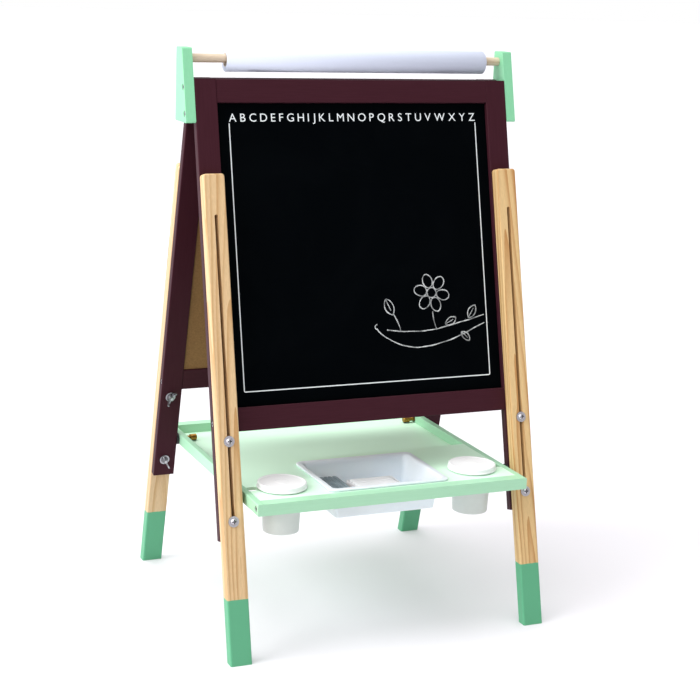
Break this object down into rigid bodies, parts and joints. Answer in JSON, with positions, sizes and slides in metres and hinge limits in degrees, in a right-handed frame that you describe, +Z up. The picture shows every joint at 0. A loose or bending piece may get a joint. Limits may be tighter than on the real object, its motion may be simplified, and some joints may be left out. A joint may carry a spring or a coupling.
{
  "type": "kids easel",
  "caption": "Folding double-sided child's easel with slotted height legs, chalkboard, paper roll on a dowel, and a tray with lidded paint cups and a tub.",
  "frame": {"origin": "on the floor, under the middle of the top hinge's axis", "axes": "+Z up, chalkboard side towards -Y, +X to the right of someone facing the chalkboard"},
  "size_m": [0.579, 0.4996, 0.9256],
  "materials": {
    "frame_paint": "satin paint on pine",
    "chalk_face": "matt chalkboard paint on hardboard",
    "dry_wipe_face": "gloss white coat on hardboard",
    "pine": "clear satin varnish",
    "plate_paint": "satin paint on pine",
    "tray_paint": "satin paint on fibreboard and pine",
    "zinc_steel": "bright zinc plated",
    "hinge_steel": "satin zinc plated",
    "brass": "turned",
    "black_nylon": "moulded nylon",
    "birch": "sanded dowel",
    "paper": "uncoated drawing paper",
    "card": "wound card",
    "white_pot": "moulded, satin",
    "white_lid": "moulded, gloss",
    "frosted_tub": "moulded, translucent",
    "beech": "varnished block",
    "felt": "pressed felt",
    "carton": "coated white carton"
  },
  "bodies": {
    "front_frame": {"front_stile_left": "frame_paint", "front_stile_right": "frame_paint", "front_top_rail": "frame_paint", "front_bottom_rail": "frame_paint", "chalkboard": "chalk_face", "front_hinge_leaves": "hinge_steel", "hinge_pins": "hinge_steel", "front_screws": "zinc_steel", "front_thread_inserts": "brass", "front_leg_bolts": "zinc_steel", "front_washers": "zinc_steel", "front_spacers": "black_nylon", "side_plate_left": "plate_paint", "side_plate_right": "plate_paint"},
    "rear_frame": {"rear_stile_left": "frame_paint", "rear_stile_right": "frame_paint", "rear_top_rail": "frame_paint", "rear_bottom_rail": "frame_paint", "dry_wipe_board": "dry_wipe_face", "rear_hinge_leaves": "hinge_steel", "rear_screws": "zinc_steel", "rear_thread_inserts": "brass", "rear_leg_bolts": "zinc_steel", "rear_washers": "zinc_steel", "rear_spacers": "black_nylon"},
    "front_leg_left": {"front_leg_left": "pine"},
    "front_wing_nut_left_upper": {"front_wing_nut_left_upper": "zinc_steel"},
    "front_wing_nut_left_lower": {"front_wing_nut_left_lower": "zinc_steel"},
    "front_leg_right": {"front_leg_right": "pine"},
    "front_wing_nut_right_upper": {"front_wing_nut_right_upper": "zinc_steel"},
    "front_wing_nut_right_lower": {"front_wing_nut_right_lower": "zinc_steel"},
    "rear_leg_left": {"rear_leg_left": "pine"},
    "rear_wing_nut_left_upper": {"rear_wing_nut_left_upper": "zinc_steel"},
    "rear_wing_nut_left_lower": {"rear_wing_nut_left_lower": "zinc_steel"},
    "rear_leg_right": {"rear_leg_right": "pine"},
    "rear_wing_nut_right_upper": {"rear_wing_nut_right_upper": "zinc_steel"},
    "rear_wing_nut_right_lower": {"rear_wing_nut_right_lower": "zinc_steel"},
    "tray": {"tray_floor": "tray_paint", "tray_side_rail_left": "tray_paint", "tray_side_rail_right": "tray_paint", "tray_front_rail": "tray_paint", "tray_rear_rail": "tray_paint", "tray_cross_rail": "tray_paint", "tray_front_board": "tray_paint", "tray_screws": "zinc_steel"},
    "front_hand_screw_left": {"front_hand_screw_left": "brass"},
    "front_hand_screw_right": {"front_hand_screw_right": "brass"},
    "rear_hand_screw_left": {"rear_hand_screw_left": "brass"},
    "rear_hand_screw_right": {"rear_hand_screw_right": "brass"},
    "dowel": {"dowel": "birch"},
    "paper_roll": {"paper_roll": "paper", "paper_core": "card"},
    "paint_cup_left": {"paint_cup_left": "white_pot"},
    "cup_lid_left": {"cup_lid_left": "white_lid"},
    "paint_cup_right": {"paint_cup_right": "white_pot"},
    "cup_lid_right": {"cup_lid_right": "white_lid"},
    "tub": {"tub": "frosted_tub"},
    "eraser": {"eraser_block": "beech", "eraser_felt": "felt"},
    "chalk_box": {"chalk_box": "carton"}
  },
  "joints": [
    {"name": "rear_frame_fold", "type": "hinge", "parent": "front_frame", "child": "rear_frame", "pos_m": [0, 0, 0.8693], "axis": [-1, 0, 0], "range_deg": [0, 25]},
    {"name": "front_leg_left_slide", "type": "slide", "parent": "front_frame", "child": "front_leg_left", "axis": [0, -0.2368, -0.9715], "range_m": [0, 0.347]},
    {"name": "front_wing_nut_left_upper_turn", "type": "hinge", "parent": "front_frame", "child": "front_wing_nut_left_upper", "pos_m": [-0.256, -0.13608, 0.3271], "axis": [0, -0.9715, 0.2368], "continuous": true},
    {"name": "front_wing_nut_left_lower_turn", "type": "hinge", "parent": "front_frame", "child": "front_wing_nut_left_lower", "pos_m": [-0.256, -0.16533, 0.20712], "axis": [0, -0.9715, 0.2368], "continuous": true},
    {"name": "front_leg_right_slide", "type": "slide", "parent": "front_frame", "child": "front_leg_right", "axis": [0, -0.2368, -0.9715], "range_m": [0, 0.347]},
    {"name": "front_wing_nut_right_upper_turn", "type": "hinge", "parent": "front_frame", "child": "front_wing_nut_right_upper", "pos_m": [0.256, -0.13608, 0.3271], "axis": [0, -0.9715, 0.2368], "continuous": true},
    {"name": "front_wing_nut_right_lower_turn", "type": "hinge", "parent": "front_frame", "child": "front_wing_nut_right_lower", "pos_m": [0.256, -0.16533, 0.20712], "axis": [0, -0.9715, 0.2368], "continuous": true},
    {"name": "rear_leg_left_slide", "type": "slide", "parent": "rear_frame", "child": "rear_leg_left", "axis": [0, 0.2368, -0.9715], "range_m": [0, 0.347]},
    {"name": "rear_wing_nut_left_upper_turn", "type": "hinge", "parent": "rear_frame", "child": "rear_wing_nut_left_upper", "pos_m": [-0.256, 0.13608, 0.3271], "axis": [0, 0.9715, 0.2368], "continuous": true},
    {"name": "rear_wing_nut_left_lower_turn", "type": "hinge", "parent": "rear_frame", "child": "rear_wing_nut_left_lower", "pos_m": [-0.256, 0.16533, 0.20712], "axis": [0, 0.9715, 0.2368], "continuous": true},
    {"name": "rear_leg_right_slide", "type": "slide", "parent": "rear_frame", "child": "rear_leg_right", "axis": [0, 0.2368, -0.9715], "range_m": [0, 0.347]},
    {"name": "rear_wing_nut_right_upper_turn", "type": "hinge", "parent": "rear_frame", "child": "rear_wing_nut_right_upper", "pos_m": [0.256, 0.13608, 0.3271], "axis": [0, 0.9715, 0.2368], "continuous": true},
    {"name": "rear_wing_nut_right_lower_turn", "type": "hinge", "parent": "rear_frame", "child": "rear_wing_nut_right_lower", "pos_m": [0.256, 0.16533, 0.20712], "axis": [0, 0.9715, 0.2368], "continuous": true},
    {"name": "tray_tilt", "type": "hinge", "parent": "front_frame", "child": "tray", "pos_m": [0, -0.16361, 0.24375], "axis": [-1, 0, 0], "range_deg": [0, 25]},
    {"name": "front_hand_screw_left_turn", "type": "hinge", "parent": "tray", "child": "front_hand_screw_left", "pos_m": [-0.2215, -0.16361, 0.24375], "axis": [1, 0, 0], "continuous": true},
    {"name": "front_hand_screw_right_turn", "type": "hinge", "parent": "tray", "child": "front_hand_screw_right", "pos_m": [0.2215, -0.16361, 0.24375], "axis": [1, 0, 0], "continuous": true},
    {"name": "rear_hand_screw_left_turn", "type": "hinge", "parent": "tray", "child": "rear_hand_screw_left", "pos_m": [-0.2215, 0.16361, 0.24375], "axis": [1, 0, 0], "continuous": true},
    {"name": "rear_hand_screw_right_turn", "type": "hinge", "parent": "tray", "child": "rear_hand_screw_right", "pos_m": [0.2215, 0.16361, 0.24375], "axis": [1, 0, 0], "continuous": true},
    {"name": "dowel_shift", "type": "slide", "parent": "front_frame", "child": "dowel", "axis": [1, 0, 0], "range_m": [0, 0.0063]},
    {"name": "paper_roll_turn", "type": "hinge", "parent": "dowel", "child": "paper_roll", "pos_m": [0, 0.0107, 0.9063], "axis": [1, 0, 0], "continuous": true},
    {"name": "paint_cup_left_lift", "type": "slide", "parent": "tray", "child": "paint_cup_left", "axis": [0, 0, 1], "range_m": [0, 0.066]},
    {"name": "cup_lid_left_lift", "type": "slide", "parent": "paint_cup_left", "child": "cup_lid_left", "axis": [0, 0, 1], "range_m": [0, 0.008]},
    {"name": "paint_cup_right_lift", "type": "slide", "parent": "tray", "child": "paint_cup_right", "axis": [0, 0, 1], "range_m": [0, 0.066]},
    {"name": "cup_lid_right_lift", "type": "slide", "parent": "paint_cup_right", "child": "cup_lid_right", "axis": [0, 0, 1], "range_m": [0, 0.008]},
    {"name": "tub_lift", "type": "slide", "parent": "tray", "child": "tub", "axis": [0, 0, 1], "range_m": [0, 0.052]},
    {"name": "eraser_lift", "type": "slide", "parent": "tub", "child": "eraser", "axis": [0, 0, 1], "range_m": [0, 0.045]},
    {"name": "chalk_box_lift", "type": "slide", "parent": "tub", "child": "chalk_box", "axis": [0, 0, 1], "range_m": [0, 0.045]}
  ]
}
